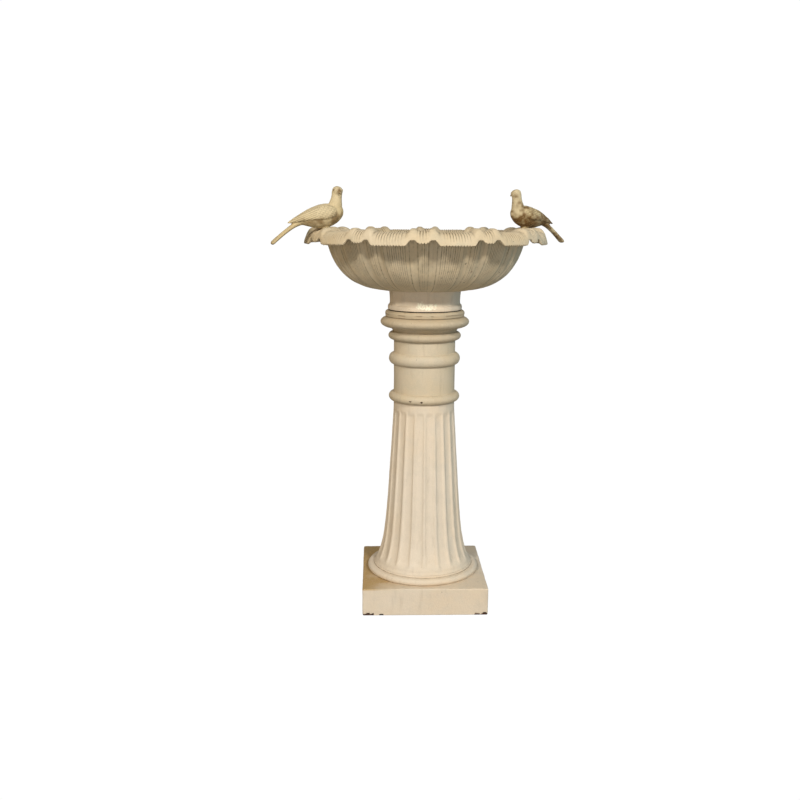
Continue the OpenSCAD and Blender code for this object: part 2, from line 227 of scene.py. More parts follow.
def hollowness(grid, normals, closed, reach=3.0):
    """How far each point lies in a hollow (above 0) or on an edge (below 0), over a few millimetres."""
    step = np.linalg.norm(np.roll(grid, -1, 0) - grid, axis=-1)
    k = max(1, int(round(reach / max(np.median(step), 1e-6))))
    around = np.linalg.norm(np.roll(grid, -1, 1) - grid, axis=-1)
    m = max(1, int(round(reach / max(np.median(around), 1e-6))))
    if closed:
        pair = np.roll(grid, -k, 0) + np.roll(grid, k, 0)
    else:
        index = np.arange(len(grid))
        pair = grid[np.minimum(index + k, len(grid) - 1)] + grid[np.maximum(index - k, 0)]
    side = np.roll(grid, -m, 1) + np.roll(grid, m, 1)
    bend = (pair + side) / 4 - grid
    return (bend * normals).sum(-1) / reach


def arc(cx, cz, r, a, b, n):
    """Points of a circular arc from angle a to angle b, in degrees."""
    angles = [math.radians(a + (b - a) * i / n) for i in range(n + 1)]
    return [(cx + r * math.cos(q), cz + r * math.sin(q)) for q in angles]


def bulge(r, reach, z, h, n=24):
    """Half ellipse that stands out by reach between two heights."""
    angles = [math.pi * i / n for i in range(n + 1)]
    return [(r + reach * math.sin(q), z + h / 2 - h / 2 * math.cos(q)) for q in angles]


def rounded(p, a, b, reach, shares):
    """Points of the rounding at corner p, between the directions to a and b."""
    u, v = (a - p) / np.linalg.norm(a - p), (b - p) / np.linalg.norm(b - p)
    start, end = p + u * reach, p + v * reach
    return [(1 - s) ** 2 * start + 2 * s * (1 - s) * p + s * s * end for s in shares]


def softened(profile, radius, spacing=2.5):
    """A closed profile with its sharp corners rounded and its long runs divided."""
    out = []
    count = len(profile)
    for k in range(count):
        p, a, b = (np.array(profile[q % count], float) for q in (k, k - 1, k + 1))
        u, v = a - p, b - p
        lu, lv = np.linalg.norm(u), np.linalg.norm(v)
        turn = math.degrees(math.acos(max(-1, min(1, float(np.dot(-u, v) / (lu * lv))))))
        if turn < 20:
            out.append(p)
            continue
        out += rounded(p, a, b, min(radius, 0.45 * lu, 0.45 * lv), (0, 0.25, 0.5, 0.75, 1))
    dense = []
    for k, p in enumerate(out):
        q = out[(k + 1) % len(out)]
        parts = max(1, int(math.ceil(np.linalg.norm(q - p) / spacing)))
        dense += [p + (q - p) * i / parts for i in range(parts)]
    return np.array(dense)


def revolved(outline, segments, x=0.0, y=0.0):
    """Grid of points made by turning an outline about the upright axis through x, y."""
    a = np.linspace(0, 2 * math.pi, segments, endpoint=False)
    return np.stack([outline[:, None, 0] * np.cos(a) + x, outline[:, None, 0] * np.sin(a) + y,
                     np.repeat(outline[:, None, 1], segments, 1)], -1)


def ragged_wobble(grid, seed):
    """Small noise that frays the edge of a patch."""
    return 0.35 * field(grid, 4, seed) + 0.2 * field(grid, 1.8, seed + 1)


def from_front(grid):
    """Degrees round from the front, positive to the right."""
    return np.degrees(np.arctan2(grid[..., 0], -grid[..., 1]))


def patches(grid, spots, seed):
    """1 inside ragged patches, each given as degrees from the front, height, half width and half height."""
    r = np.hypot(grid[..., 0], grid[..., 1])
    wobble = ragged_wobble(grid, seed)
    mark = np.zeros(grid.shape[:2])
    for deg, z, wide, tall in spots:
        d = np.hypot(np.radians(from_front(grid) - deg) * r / wide, (grid[..., 2] - z) / tall)
        mark = np.maximum(mark, smooth(1 - d + wobble, 0.0, 0.22))
    return mark * (r > COLUMN_R - 2)


def turned(name, profile, body, node, radius=1.0, chips=(), scale=()):
    """A casting turned about the vertical axis, with softened corners and a slightly uneven skin."""
    outline = softened(profile, radius)
    segments = 288
    uneven = 0.18
    grid = revolved(outline, segments)
    normals = grid_normals(grid, True)
    if signed_area(outline) < 0:
        normals = -normals
    grid = grid + normals * (uneven * field(grid, 16, 3) + 0.4 * uneven * field(grid, 5, 4))[..., None]
    # how hollow each point lies, which the paint shows as painted shade and dirt
    marks = {"hollow": hollowness(grid, normals, True)}
    if chips:
        marks["chip"] = patches(grid, chips, 51)
        grid = grid - normals * (0.5 * marks["chip"])[..., None]
    if scale:
        marks["scale"] = patches(grid, scale, 53)
        grid = grid + normals * (0.3 * marks["scale"])[..., None]
    faces = grid_faces(len(outline), segments, True)
    obj = mesh_object(name, grid.reshape(-1, 3), faces, body, [node], marks)
    return obj


def signed_area(outline):
    """Area inside a closed outline, above 0 where it runs anticlockwise."""
    x, z = outline[:, 0], outline[:, 1]
    return float(np.sum(x * np.roll(z, -1) - np.roll(x, -1) * z)) / 2


# ---------------------------------------------------------------- plinth

def plinth_section():
    """Points of the section, and how square the plinth is at each: 1 outside, 0 around the rod."""
    half = PLINTH_SIDE / 2
    top = FOOT_Z
    inner = half - PLINTH_WALL
    lip = FOOT_BORE - REGISTER_GAP - REGISTER_WALL
    # From the skirt's inner foot, out over the top, in to the rod's hole and back underneath
    section = [(inner, 0), (half, 0), (half, top), (lip, top), (lip, top + REGISTER),
               (lip - REGISTER_WALL, top + REGISTER), (lip - REGISTER_WALL, top), (ROD_HOLE, top),
               (ROD_HOLE, top - PLINTH_TOP), (inner, top - PLINTH_TOP)]
    square = [1, 1, 1, 0, 0, 0, 0, 0, 0, 1]
    outer_edges = (1, 2)
    outline, share = [], []
    count = len(section)
    for k in range(count):
        p, a, b = (np.array(section[q % count], float) for q in (k, k - 1, k + 1))
        corner = rounded(p, a, b, PLINTH_EDGE if k in outer_edges else 0.8, (0, 0.2, 0.4, 0.6, 0.8, 1))
        outline += corner
        share += [float(square[k])] * len(corner)
    points, squareness = [], []
    for k, p in enumerate(outline):
        q = outline[(k + 1) % len(outline)]
        parts = max(1, int(math.ceil(np.linalg.norm(q - p) / 2.4)))
        for i in range(parts):
            f = i / parts
            points.append(p + (q - p) * f)
            squareness.append(share[k] + (share[(k + 1) % len(outline)] - share[k]) * f)
    return np.array(points), np.array(squareness)


def plinth_grid(points, squareness):
    """The section carried round a square with small corners, blended into a circle towards the middle."""
    side_steps = 112
    ring = [(quarter, -1 + 2 * (i + 0.5) / side_steps) for quarter in range(4) for i in range(side_steps)]
    grid = np.zeros((len(points), len(ring), 3))
    r, w = points[:, 0], squareness
    tight = np.minimum(PLINTH_CORNER, r)
    flat = np.maximum(r - PLINTH_CORNER, 0)
    for c, (quarter, t) in enumerate(ring):
        a = math.radians(90 * quarter)
        bend = math.copysign(abs(t) ** 0.92, t)
        over = np.maximum(np.abs(bend) * r - flat, 0)
        drop = tight - np.sqrt(np.maximum(tight ** 2 - np.minimum(over, PLINTH_CORNER) ** 2, 0))
        drop = np.minimum(drop, 0.35 * PLINTH_CORNER)
        square_u, square_v = r - drop, bend * r - np.sign(bend) * np.where(over > 0, drop, 0)
        angle = math.radians(45 * t)
        u = w * square_u + (1 - w) * r * math.cos(angle)
        v = w * square_v + (1 - w) * r * math.sin(angle)
        grid[:, c, 0] = u * math.cos(a) - v * math.sin(a)
        grid[:, c, 1] = u * math.sin(a) + v * math.cos(a)
        grid[:, c, 2] = points[:, 1]
    return grid


def plinth():
    """Hollow square casting with softened, slightly ragged edges, and chips along its lower front edge."""
    top = FOOT_Z
    points, squareness = plinth_section()
    grid = plinth_grid(points, squareness)
    normals = grid_normals(grid, True)
    if signed_area(points) < 0:
        normals = -normals
    z = grid[..., 2]
    near_edge = np.exp(-((z - top) / 3.0) ** 2) + np.exp(-(z / 3.0) ** 2)
    ragged = 0.18 * field(grid, 18, 7) + near_edge * (0.3 * field(grid, 4.5, 8) + 0.2 * field(grid, 11, 9))
    grounded = smooth(z, 0.3, 2.5)
    grid = grid + normals * (ragged * grounded * squareness[:, None])[..., None]
    # how hollow each point lies, which the paint shows as painted shade and dirt
    hollow = hollowness(grid, normals, True)
    chip = chipped(grid)
    grid = grid - normals * (1.3 * chip * grounded)[..., None]
    x, y, z = grid[..., 0], grid[..., 1], grid[..., 2]
    # yellow-brown dirt on the top, mostly left and back
    drift = 0.6 * field(grid, 28, 31) + 0.3 * field(grid, 9, 32)
    dirt = smooth(z, top - 3, top - 1) * smooth(drift - x / 60 + y / 200, -0.5, 1.6)
    askew = math.radians(PLINTH_ASKEW) * squareness[:, None]
    grid = np.stack([x * np.cos(askew) - y * np.sin(askew), x * np.sin(askew) + y * np.cos(askew), z], -1)
    faces = grid_faces(len(points), grid.shape[1], True)
    obj = mesh_object("plinth_casting", grid.reshape(-1, 3), faces, "pedestal", ["plinth"],
                      {"hollow": hollow, "chip": chip, "stain_and_shade": dirt})
    return obj


def chipped(grid):
    """1 where the paint has broken off along the plinth's lower edge."""
    half = PLINTH_SIDE / 2
    # each is a place, a half width and a half height
    spots = [(-half + 14, -half, 1, 9.5, 5), (-half + 2, -half, 1, 6, 4), (-half + 38, -half, 0, 6, 4),
             (half - 6, -half, 1.5, 9, 4.5), (half - 22, -half, 1, 6, 3.5), (half, -half + 30, 0, 11, 4),
             (-half, -half + 40, 0, 9, 4), (-half, half - 20, 0, 12, 5), (half - 40, half, 0, 10, 4)]
    chip = np.zeros(grid.shape[:2])
    wobble = ragged_wobble(grid, 21)
    for x, y, z, wide, tall in spots:
        away = (grid - np.array([x, y, z])) / np.array([wide, wide, tall])
        chip = np.maximum(chip, smooth(1 - np.linalg.norm(away, axis=-1) + wobble, 0.0, 0.22))
    return chip


# ---------------------------------------------------------------- column

def shaft_radius(h, height):
    """Radius of the shaft's arrises at a height above its foot."""
    return COLUMN_R + TAPER * np.maximum(0, 1 - h / (height - PLAIN_BAND)) + FOOT_FLARE * np.exp(-h / FLARE_LENGTH)


def fluted_shaft():
    """Hollow tapered shaft that flares at its foot, with flutes that fade out above and below."""
    height = NECK_Z - SHAFT_Z
    fluted_top = height - PLAIN_BAND
    outside = np.concatenate([np.linspace(0, 40, 34), np.linspace(41.5, fluted_top - 14, 130),
                              np.linspace(fluted_top - 13.5, fluted_top + 2, 26),
                              np.linspace(fluted_top + 4, height, 8)])
    per_flute = 22
    n = FLUTES * per_flute
    a = 2 * math.pi * np.arange(n) / n
    u = (np.arange(n) % per_flute) / per_flute
    x = np.abs(2 * u - 1) / 0.8
    scallop = np.where(x < 1, np.sqrt(np.maximum(0, 1 - x ** 2)) ** 0.85, 0)
    # the paint rounds the arrises between the flutes
    scallop = (scallop + np.roll(scallop, 1) + np.roll(scallop, -1)) / 3
    low, high = (outside - 8) / 14, (fluted_top - outside) / 12
    end = np.clip(np.minimum(low, high), 0, 1)
    # the flutes are shallower towards the top
    share = np.interp(outside, [0, 190, 300, 340], [0.85, 0.9, 0.62, 0.5])
    depth = FLUTE_DEPTH * np.sin(np.pi / 2 * end) ** 1.4 * share
    r = shaft_radius(outside, height)[:, None] - depth[:, None] * scallop[None, :]
    bore_h = np.array([height, height * 0.55, height * 0.2, REGISTER + 1, 0])
    bore_r = np.array([COLUMN_BORE, shaft_radius(height * 0.55, height) - SHAFT_WALL,
                       shaft_radius(height * 0.2, height) - SHAFT_WALL, FOOT_BORE, FOOT_BORE])
    z = np.concatenate([outside, bore_h])
    r = np.concatenate([r, np.repeat(bore_r[:, None], n, 1)])
    grid = np.stack([r * np.cos(a), r * np.sin(a), np.repeat(z[:, None] + SHAFT_Z, n, 1)], -1)
    skin = len(outside)
    normals = grid_normals(grid, True)
    out = np.sign((normals[:skin, :, 0] * np.cos(a) + normals[:skin, :, 1] * np.sin(a)).mean())
    normals = normals * out
    rough = 0.22 * field(grid, 14, 31) + 0.14 * field(grid, 5, 32)
    rough[skin:] = 0
    rough[0] = rough[skin - 1] = 0
    grid = grid + normals * rough[..., None]
    # painted shade and dirt in the flutes, from how hollow they lie
    hollow = 0.35 * hollowness(grid, normals, False)
    hollow[skin:] = 0
    # a little painted shade and dirt where the foot meets its ring
    hollow = hollow + 0.06 * np.exp(-((z - 7) / 5) ** 2)[:, None]
    obj = mesh_object("fluted_shaft_casting", grid.reshape(-1, 3), grid_faces(len(z), n, True), "pedestal",
                      ["fluted_shaft"], {"hollow": hollow})
    return obj


def foot_ring():
    """Half-round moulding with a shelf for the shaft."""
    shelf = COLUMN_R + TAPER + FOOT_FLARE + 1.5
    top = SHAFT_Z - FOOT_Z
    lip = FOOT_BORE - REGISTER_GAP
    inner = FOOT_BORE - REGISTER_WALL
    profile = [(inner, 0)] + arc(FOOT_R - FOOT_BEAD / 2, FOOT_BEAD / 2, FOOT_BEAD / 2, -90, 90, 24)
    profile += [(shelf, FOOT_BEAD), (shelf, top), (lip, top), (lip, top + REGISTER), (inner, top + REGISTER)]
    return turned("foot_ring_casting", [(r, z + FOOT_Z) for r, z in profile], "pedestal", "foot_ring")


def neck():
    """Plain tube with a ring at its foot and another near its top, and two chips on the lower one."""
    height = CAPITAL_Z - NECK_Z
    foot = COLUMN_BORE - REGISTER_GAP
    upper = height - UPPER_BAND_H - UPPER_RING_H
    profile = [(foot - REGISTER_WALL, -REGISTER), (foot, -REGISTER), (foot, 0)]
    profile += bulge(COLUMN_R, RING_REACH, 0, LOWER_RING_H) + bulge(COLUMN_R, RING_REACH, upper, UPPER_RING_H)
    profile += [(COLUMN_R, height), (COLUMN_BORE, height), (COLUMN_BORE, 0), (foot - REGISTER_WALL, 0)]
    return turned("neck_casting", [(r, z + NECK_Z) for r, z in profile], "pedestal", "neck",
                  chips=[(-6, NECK_Z + 7, 3.2, 1.6), (-25, NECK_Z + 8, 2.6, 1.3)])


def capital():
    """Bead, torus and step, with the web that the tie rod pulls on and the spigot that the collar turns on."""
    foot = COLUMN_BORE - REGISTER_GAP
    web_top = WEB_RISE + WEB_THICKNESS
    bead_root, torus_root = 1, 7
    step = SEAT_Z - CAPITAL_Z - STEP_H
    pivot_top = SEAT_Z - CAPITAL_Z + PIVOT_RISE
    half = STEP_H / 2
    profile = [(ROD_HOLE, WEB_RISE), (foot - REGISTER_WALL, WEB_RISE), (foot - REGISTER_WALL, -REGISTER),
               (foot, -REGISTER), (foot, 0), (COLUMN_R + bead_root, 0)]
    profile += bulge(COLUMN_R + bead_root, BEAD_REACH - bead_root, 2, BEAD_H)
    profile += bulge(COLUMN_R + torus_root, TORUS_REACH - torus_root, step - TORUS_H, TORUS_H)
    profile += [(COLUMN_R + STEP_REACH - 1, step), (COLUMN_R + STEP_REACH, step + half)]
    profile += arc(COLUMN_R + STEP_REACH - half, step + half, half, 0, 90, 12)
    profile += [(PIVOT_R, step + STEP_H), (PIVOT_R, pivot_top), (RECESS_R, pivot_top), (RECESS_R, web_top),
                (ROD_HOLE, web_top)]
    return turned("capital_casting", [(r, z + CAPITAL_Z) for r, z in profile], "pedestal", "capital",
                  radius=0.7)


def basin_collar():
    """Slightly waisted collar with the basin's socket in its top, and pale scale on its lower front."""
    height = BASIN_Z - COLLAR_Z
    bore = PIVOT_R + RUNNING_GAP
    lip = PIVOT_R - COLLAR_LIP
    floor = height - SPIGOT_H - SPIGOT_GAP
    profile = [(bore, 0), (COLLAR_R + 2, 0), (COLLAR_R + 2.6, 4.5), (COLLAR_R + 1.5, 9)]
    waist = 1.6
    for i in range(17):
        profile.append((COLLAR_R - waist * math.sin(math.pi * math.sqrt(i / 16)),
                        10 + (height - 10) * i / 16))
    profile += [(SOCKET_R, height), (SOCKET_R, floor), (lip, floor), (lip, COLLAR_BORE_H),
                (bore, COLLAR_BORE_H)]
    return turned("collar_casting", [(r, z + COLLAR_Z) for r, z in profile], "collar", "basin_collar",
                  radius=0.6,
                  scale=[(-9, COLLAR_Z + 12, 8, 8), (3, COLLAR_Z + 8, 12, 6), (11, COLLAR_Z + 11, 8, 7)])


# ---------------------------------------------------------------- basin

def cubic(p, t):
    """Points of the Bezier curve with corners p."""
    p = np.array(p, float)
    t = np.asarray(t, float)[:, None]
    return (1 - t) ** 3 * p[0] + 3 * (1 - t) ** 2 * t * p[1] + 3 * (1 - t) * t * t * p[2] + t ** 3 * p[3]


def across(p, t):
    """Directions square to the Bezier curve with corners p."""
    p = np.array(p, float)
    t = np.asarray(t, float)[:, None]
    d = (1 - t) ** 2 * (p[1] - p[0]) + 2 * (1 - t) * t * (p[2] - p[1]) + t * t * (p[3] - p[2])
    n = np.stack([-d[:, 1], d[:, 0]], -1)
    return n / np.linalg.norm(n, axis=1, keepdims=True)


def relief(phase):
    """Height of the relief as a share of an arch, at degrees round from a narrow lobe's centre."""
    x = phase / LOBE_PITCH
    outer = 0.5 + 0.5 * np.cos(np.pi * np.clip((x - 0.165) / 0.095, 0, 1))
    inner = 0.42 + 0.58 * (0.5 - 0.5 * np.cos(np.pi * np.clip((x - 0.05) / 0.08, 0, 1)))
    return np.where(x > 0.165, outer, np.where(x > 0.13, 1, inner))


def ribs(phase):
    """Fine ribs on the wide and narrow lobes, from -1 to 1."""
    wide = np.cos(2 * np.pi * (phase - LOBE_PITCH / 2) / RIB_PITCH) * smooth(phase, 8.6, 9.3)
    narrow = np.cos(2 * np.pi * (phase - RIB_PITCH / 2) / RIB_PITCH) * (1 - smooth(phase, 2.3, 2.8))
    return wide + narrow


def basin_curves():
    """Bezier curves of the underside and of the top, each from the middle out: bowl, shoulder and rim."""
    lip_z = BASIN_H - RIM_DROOP
    wall_r, wall_z = 0.905 * CREST_R, 0.79 * BASIN_H
    under_z = BASIN_H - BASIN_WALL
    out = RIM_R - CREST_R
    under = [
        [[COLLAR_R, 0], [0.68 * CREST_R, 0], [0.837 * CREST_R, 0.316 * BASIN_H], [wall_r, wall_z]],
        [[wall_r, wall_z], [0.916 * CREST_R, 0.87 * BASIN_H], [0.946 * CREST_R, under_z - 0.5],
         [CREST_R, under_z]],
        [[CREST_R, under_z], [CREST_R + 0.4 * out, under_z],
         [RIM_R - BASIN_WALL - 3, BASIN_H - 0.5 * RIM_DROOP - 1], [RIM_R - BASIN_WALL + 0.5, lip_z]]]
    inner_r = wall_r - BASIN_WALL - 1
    top = [
        [[COLLAR_R - 14, BASIN_FLOOR], [0.66 * CREST_R, BASIN_FLOOR], [0.805 * CREST_R, 0.316 * BASIN_H + 4],
         [inner_r, wall_z]],
        [[inner_r, wall_z], [0.916 * CREST_R - BASIN_WALL - 2, 0.89 * BASIN_H],
         [0.93 * CREST_R, BASIN_H - 0.5],
         [CREST_R, BASIN_H]],
        [[CREST_R, BASIN_H], [CREST_R + 0.55 * out, BASIN_H], [RIM_R - 2, BASIN_H - 0.4 * RIM_DROOP],
         [RIM_R, lip_z]]]
    return under, top


CURVE_ROWS = (46, 16, 20)


def basin_section():
    """Points of the section, each one's lifting direction, arch height and rib height, and the foot's count."""
    under, top = basin_curves()
    arch = [(0, 0.65 * ARCH_H), (0.65 * ARCH_H, ARCH_H), (ARCH_H, RIM_ARCH_H)]
    rib = [(0.35, 0.7), (0.7, 0.95), (0.95, 1.15)]
    parts = []

    def upward(count):
        return np.repeat([[0.0, 1.0]], count, 0)

    def add(curve, k, t):
        lifted = across(curve, t) if k < 2 else upward(len(t))
        parts.append((cubic(curve, t), lifted, arch[k][0] + (arch[k][1] - arch[k][0]) * t,
                      rib[k][0] + (rib[k][1] - rib[k][0]) * t))

    spigot = SOCKET_R - SPIGOT_GAP
    bevel = 0.6
    inside = spigot - SPIGOT_WALL
    foot = np.array([[inside, 0], [inside, bevel - SPIGOT_H], [inside + bevel, -SPIGOT_H],
                     [spigot - bevel, -SPIGOT_H], [spigot, bevel - SPIGOT_H], [spigot, -1], [spigot + bevel,
                                                                                             0]])
    parts.append((foot, upward(len(foot)), np.zeros(len(foot)), np.zeros(len(foot))))
    for k in range(3):
        add(under[k], k, np.linspace(0 if k == 0 else 1 / CURVE_ROWS[k], 1, CURVE_ROWS[k] + (k == 0)))
    # rounded lip between the under and upper surfaces
    a, b = np.array(under[2][3], float), np.array(top[2][3], float)
    mid, half = (a + b) / 2, np.linalg.norm(b - a) / 2
    turn = np.radians(np.linspace(198, 342, 7))
    lip = np.stack([mid[0] + half * np.cos(turn), mid[1] + 0.6 * half * np.sin(turn)], -1)
    parts.append((lip, upward(len(lip)), np.full(len(lip), float(RIM_ARCH_H)), np.full(len(lip), rib[2][1])))
    for k in (2, 1, 0):
        add(top[k], k, np.linspace(1, 0 if k == 0 else 1 / CURVE_ROWS[k], CURVE_ROWS[k] + (k == 0)))
    return [np.concatenate(column) for column in zip(*parts)] + [len(foot)]


def basin_marks(grid, normals, phase, outside):
    """Painted shade and dirt in the grooves, painted shade lines along the panels' borders outside, pits on the front,
    and grey-green mould on the lobe at the left.
    """
    # painted shade lines along the borders of the wide and narrow panels, on the outside only
    border_shade = np.exp(-((phase - 7.6) / 0.42) ** 2) + 0.8 * np.exp(-((phase - 2.75) / 0.35) ** 2)
    hollow = 0.6 * hollowness(grid, normals, False, 2.0) + 0.2 * outside[:, None] * border_shade[None, :]
    pits = [(22.5, 718, 2.4, 2.6), (15, 703, 1.9, 2.3), (12, 702, 1.7, 2.2), (8.5, 690, 1.9, 2.3),
            (31, 711, 2.1, 2.4), (28, 703, 1.8, 2.2), (32.5, 694, 2.0, 2.4), (19, 690, 1.6, 2.1),
            (-22, 700, 1.6, 2.0)]
    chip = 0.49 * patches(grid, pits, 55) * outside[:, None]
    mould = smooth(np.hypot(grid[..., 0], grid[..., 1]), 226,
                   240) * np.exp(-((from_front(grid) + 84) / 8) ** 2)
    mould = np.clip(mould * (0.8 + 0.4 * field(grid, 12, 45)), 0, 1)
    return {"hollow": hollow, "chip": chip, "stain_and_shade": mould}


def basin():
    """Bowl in twelve lobes with a drooping rim: its section carried round, and lifted by arches and ribs."""
    points, dirs, lift, rib_height, foot_rows = basin_section()
    rows = len(points)
    n = LOBES * 84
    deg = 360 * np.arange(n) / n
    phase = np.abs((deg + LOBE_PITCH / 2) % LOBE_PITCH - LOBE_PITCH / 2)
    up = relief(phase)
    push = lift[:, None] * up[None, :] + rib_height[:, None] * ribs(phase)[None, :]
    q = points[:, None, :] + dirs[:, None, :] * push[..., None]
    # the arches stop a little short of the ribbed lobes' edge
    beyond = smooth(points[:, 0], CREST_R + 8, RIM_R)
    reach = q[..., 0] - 3.5 * beyond[:, None] * up[None, :]
    a = np.radians(deg + LOBE_TURN)
    grid = np.stack([reach * np.cos(a), reach * np.sin(a), q[..., 1] + BASIN_Z], -1)
    normals = grid_normals(grid, False)
    bowl = normals[foot_rows + 5:foot_rows + 20, :, 2]
    normals = -normals * np.sign(bowl.mean())
    rough = 0.25 * field(grid, 15, 41) + 0.15 * field(grid, 4, 42)
    rough[:foot_rows + 1] = 0
    grid = grid + normals * rough[..., None]
    outside = np.zeros(rows)
    outside[foot_rows + 2:foot_rows + CURVE_ROWS[0] + CURVE_ROWS[1]] = 1
    marks = basin_marks(grid, normals, phase, outside)
    # one more point in the middle, below and above
    verts = np.concatenate([grid.reshape(-1, 3), [[0, 0, BASIN_Z], [0, 0, BASIN_Z + BASIN_FLOOR]]])
    faces = grid_faces(rows, n, False)
    faces += [(rows * n, i, (i + 1) % n) for i in range(n)]
    faces += [(rows * n + 1, (rows - 1) * n + (i + 1) % n, (rows - 1) * n + i) for i in range(n)]
    obj = mesh_object("basin_casting", verts, faces, "basin", ["basin"],
                      {key: np.append(value.ravel(), [0, 0]) for key, value in marks.items()})
    return obj


# ---------------------------------------------------------------- doves

def dove_seat(side):
    """Raised boss on the rim's crest that a dove stands on, with its stud's hole."""
    bore = STUD_R + 0.1
    low, high = CREST_Z - BOSS_DEPTH, CREST_Z + SEAT_RISE
    outline = softened([(bore, low), (SEAT_R, low), (SEAT_R, high), (bore, high)], 0.6, 1.5)
    a = np.linspace(0, 2 * math.pi, 96, endpoint=False)
    turn = math.radians(DOVE_TURN[side])
    grid = np.stack([outline[:, None, 0] * np.cos(a) + CREST_R * math.cos(turn),
                     outline[:, None, 0] * np.sin(a) + CREST_R * math.sin(turn),
                     np.repeat(outline[:, None, 1], len(a), 1)], -1)
    obj = mesh_object(side + "_dove_seat", grid.reshape(-1, 3), grid_faces(len(outline), len(a), True),
                      "basin")
    return obj


def loft(stations, n=28):
    """Closed tube through stations, each a centre, a direction across and two half sizes, with a point at each end."""
    verts, faces = [], []
    t = 2 * np.pi * np.arange(n) / n
    for centre, u, v, a, b in stations:
        verts += [np.array(centre) + a * math.cos(q) * np.array(u) + b * math.sin(q) * np.array(v) for q in t]
    rows = len(stations)
    for j in range(rows - 1):
        for i in range(n):
            faces.append((j * n + i, (j + 1) * n + i, (j + 1) * n + (i + 1) % n, j * n + (i + 1) % n))
    verts += [np.array(stations[0][0], float), np.array(stations[-1][0], float)]
    faces += [(rows * n, i, (i + 1) % n) for i in range(n)]
    faces += [(rows * n + 1, (rows - 1) * n + (i + 1) % n, (rows - 1) * n + i) for i in range(n)]
    return verts, faces


def spline(rows, steps):
    """Rows of numbers with smooth ones between them (Catmull-Rom)."""
    rows = np.array(rows, float)
    ext = np.vstack([2 * rows[0] - rows[1], rows, 2 * rows[-1] - rows[-2]])
    out = []
    for k in range(1, len(ext) - 2):
        p0, p1, p2, p3 = ext[k - 1:k + 3]
        for i in range(steps):
            t = i / steps
            out.append(0.5 * (2 * p1 + (p2 - p0) * t + (2 * p0 - 5 * p1 + 4 * p2 - p3) * t ** 2
                              + (3 * p1 - p0 - 3 * p2 + p3) * t ** 3))
    return np.array(out + [rows[-1]])


def dove_parts():
    """Overlapping closed tubes of one dove: body, tail, neck with head, beak, wings and foot."""
    x, y, z = np.eye(3)
    parts = []
    body = [(35.5, 32, 1, 1), (34, 32, 8, 7), (28.5, 31, 14.5, 13), (20, 28.5, 19, 17), (8, 26, 22, 20),
            (-5, 24.5, 22.8, 20.5), (-19, 22.5, 21, 19), (-32, 21, 17, 16), (-45, 19, 12, 12),
            (-57, 15.5, 7.5, 8), (-66, 11, 3, 4)]
    parts.append(loft([((a, 0, b), z, y, max(c, 0.3), max(d, 0.3)) for a, b, c, d in spline(body, 4)]))
    tail = [(-30, 18, 9, 9), (-48, 13, 6.5, 8), (-62, 6, 4.6, 7.5), (-78, -5, 4.0, 7), (-93, -17, 3.9, 7.8),
            (-103, -25.5, 3.8, 8.4), (-106, -28.2, 2.2, 7.0)]
    lean = np.array([-0.55, 0, 0.835])
    parts.append(loft([((a, 0, b), lean, y, c, d) for a, b, c, d in spline(tail, 4)]))
    neck = [(28, 12, 15, 15), (36, 15.5, 16, 15), (44, 19, 14.2, 13.5), (52, 21.2, 11.8, 11.6),
            (59, 22.6, 10.4, 10.2), (66, 23.6, 10.2, 10), (73, 24.2, 9.8, 9.4), (78.5, 24.2, 6.8, 6.4),
            (80.8, 24.2, 1, 1)]
    parts.append(loft([((b, 0, a), x, y, max(c, 0.3), max(d, 0.3)) for a, b, c, d in spline(neck, 4)]))
    head = [(11.5 * math.sin(math.radians(q)), 9.9 * math.cos(math.radians(q))) for q in range(-88, 89, 11)]
    parts.append(loft([((24.2, -2.2 + a, 70.8), x, z, r, 0.97 * r) for a, r in head]))
    beak = [(-9, 70.5, 5), (-13, 70, 3.6), (-16, 69.2, 2.5), (-19, 67.8, 1.5), (-20.5, 66.8, 0.6)]
    parts.append(loft([((24.6, a, b), x, z, r, 0.85 * r) for a, b, r in spline(beak, 3)], 16))
    for side in (-1, 1):
        wing = [(21, 11, 32.5, 2, 2), (15, 15, 32.5, 9, 4.6), (4, 17, 32, 12.8, 5.4),
                (-10, 16.6, 30.5, 13.4, 5.5),
                (-25, 14.6, 28, 11.6, 5), (-40, 11.2, 24, 9, 4.4), (-55, 7.8, 18.5, 5.8, 3.4),
                (-68, 5.2, 13, 3, 2.2),
                (-74, 4.2, 10.6, 1, 0.9)]
        out = np.array([0, side * 0.94, 0.34])
        up = np.array([0, -side * 0.34, 0.94])
        parts.append(loft([((a, side * b, c), up, out, h, t) for a, b, c, h, t in spline(wing, 4)]))
        eye = [(1.9 * math.sin(math.radians(q)), 1.9 * math.cos(math.radians(q))) for q in range(-80, 81, 20)]
        parts.append(loft([((24.2 + side * (7.9 + a), -7.0, 73), y, z, r, r) for a, r in eye], 12))
    foot = [(0, 8.4), (0.5, 9), (3, 8.8), (8, 8.2), (14, 8)]
    parts.append(loft([((0, 0, a), x, y, r, r) for a, r in foot], 40))
    return parts


def neighbour_mean(points, edges):
    total = np.zeros_like(points)
    count = np.zeros(len(points))
    for a, b in ((0, 1), (1, 0)):
        np.add.at(total, edges[:, a], points[edges[:, b]])
        np.add.at(count, edges[:, a], 1)
    return total / np.maximum(count, 1)[:, None]


